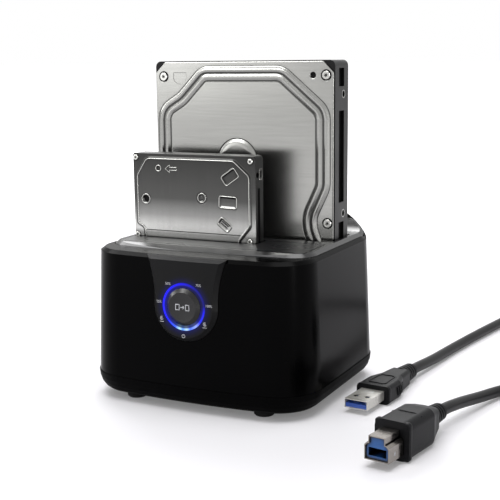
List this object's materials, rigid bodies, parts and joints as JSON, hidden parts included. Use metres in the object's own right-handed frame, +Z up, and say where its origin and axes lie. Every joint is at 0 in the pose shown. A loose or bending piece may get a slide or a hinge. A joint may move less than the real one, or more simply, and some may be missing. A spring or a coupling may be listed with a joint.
{
  "type": "drive duplicator dock",
  "caption": "Upright dock that copies one hard drive to another: sprung bay flaps, a push button in a light ring, lift-out drives, rear ports and an unplugged data cable.",
  "frame": {"origin": "on the table, under the middle of the rigid dock with its drives (cable and plugs not counted)", "axes": "+Z up along the drives, +X to the right seen from the front, +Y to the rear, where the ports are"},
  "size_m": [0.2905, 0.2943, 0.1662],
  "materials": {
    "shell_gloss": "high gloss",
    "deck_satin": "satin",
    "panel_matte": "fine texture",
    "base_matte": "fine texture",
    "well_matte": "plain",
    "flap_satin": "satin",
    "foot_rubber": "matte",
    "zinc_screw": "zinc plated",
    "board": "solder mask",
    "chips": "moulded",
    "socket_black": "moulded",
    "port_steel": "plated",
    "port_core": "moulded",
    "jack_black": "moulded",
    "pin_steel": "nickel plated",
    "switch_black": "satin",
    "ring_light": "translucent, lit blue",
    "button_gloss": "gloss",
    "led_white": "clear",
    "spring_steel": "bright",
    "cover_steel": "brushed",
    "case_alloy": "cast, dark",
    "small_case_alloy": "cast",
    "plug_steel": "plated",
    "plug_blue": "moulded",
    "grip_black": "moulded",
    "cable_black": "smooth jacket"
  },
  "bodies": {
    "dock": {"gloss_shell": "shell_gloss", "top_deck": "deck_satin", "front_well": "well_matte", "rear_well": "well_matte", "front_panel": "panel_matte", "rear_port_plate": "panel_matte", "base_tray": "base_matte", "rubber_feet": "foot_rubber", "base_screws": "zinc_screw", "main_board": "board", "board_screws": "zinc_screw", "board_components": "chips", "front_socket": "socket_black", "rear_socket": "socket_black", "usb_b_port": "port_steel", "usb_b_core": "port_core", "dc_jack": "jack_black", "dc_jack_pin": "pin_steel", "switch_frame": "switch_black", "light_ring": "ring_light", "tact_switch": "chips", "led_board": "board", "leds": "led_white", "led_board_screws": "zinc_screw", "front_flap_pin": "pin_steel", "rear_flap_pin": "pin_steel", "front_flap_spring": "spring_steel", "rear_flap_spring": "spring_steel", "usb_a_shell": "plug_steel", "usb_a_tongue": "plug_blue", "usb_a_grip": "grip_black", "usb_b_shell": "plug_steel", "usb_b_insert": "plug_blue", "usb_b_grip": "grip_black", "cable_a": "cable_black", "cable_b": "cable_black", "cable_coil": "cable_black"},
    "power_rocker": {"power_rocker": "switch_black"},
    "clone_button": {"clone_button": "button_gloss", "tact_plunger": "jack_black"},
    "front_flap": {"front_flap": "flap_satin"},
    "rear_flap": {"rear_flap": "flap_satin"},
    "large_drive": {"hdd_case": "case_alloy", "hdd_cover": "cover_steel", "hdd_cover_screws": "zinc_screw", "hdd_board": "board", "hdd_connector": "socket_black"},
    "small_drive": {"small_case": "small_case_alloy", "small_cover": "cover_steel", "small_cover_screws": "zinc_screw", "small_board": "board", "small_connector": "socket_black"}
  },
  "joints": [
    {"name": "large_drive_lift", "type": "slide", "parent": "dock", "child": "large_drive", "axis": [0, 0, 1], "range_m": [0, 0.06]},
    {"name": "small_drive_lift", "type": "slide", "parent": "dock", "child": "small_drive", "axis": [0, 0, 1], "range_m": [0, 0.06]},
    {"name": "front_flap_turn", "type": "hinge", "parent": "dock", "child": "front_flap", "pos_m": [0, -0.0283, 0.0744], "axis": [-1, 0, 0], "range_deg": [0, 85], "stiffness_Nm_per_rad": 0.01, "springref_deg": -17.19},
    {"name": "rear_flap_turn", "type": "hinge", "parent": "dock", "child": "rear_flap", "pos_m": [0, 0.0052, 0.0744], "axis": [-1, 0, 0], "range_deg": [0, 3], "stiffness_Nm_per_rad": 0.01, "springref_deg": -107.14},
    {"name": "button_push", "type": "slide", "parent": "dock", "child": "clone_button", "axis": [0, 1, 0], "range_m": [0, 0.0008], "stiffness_N_per_m": 900, "springref_m": -0.001},
    {"name": "power_rocker_turn", "type": "hinge", "parent": "dock", "child": "power_rocker", "pos_m": [0.021, 0.05171, 0.023], "axis": [0, 0, 1], "range_deg": [-16, 0]}
  ]
}
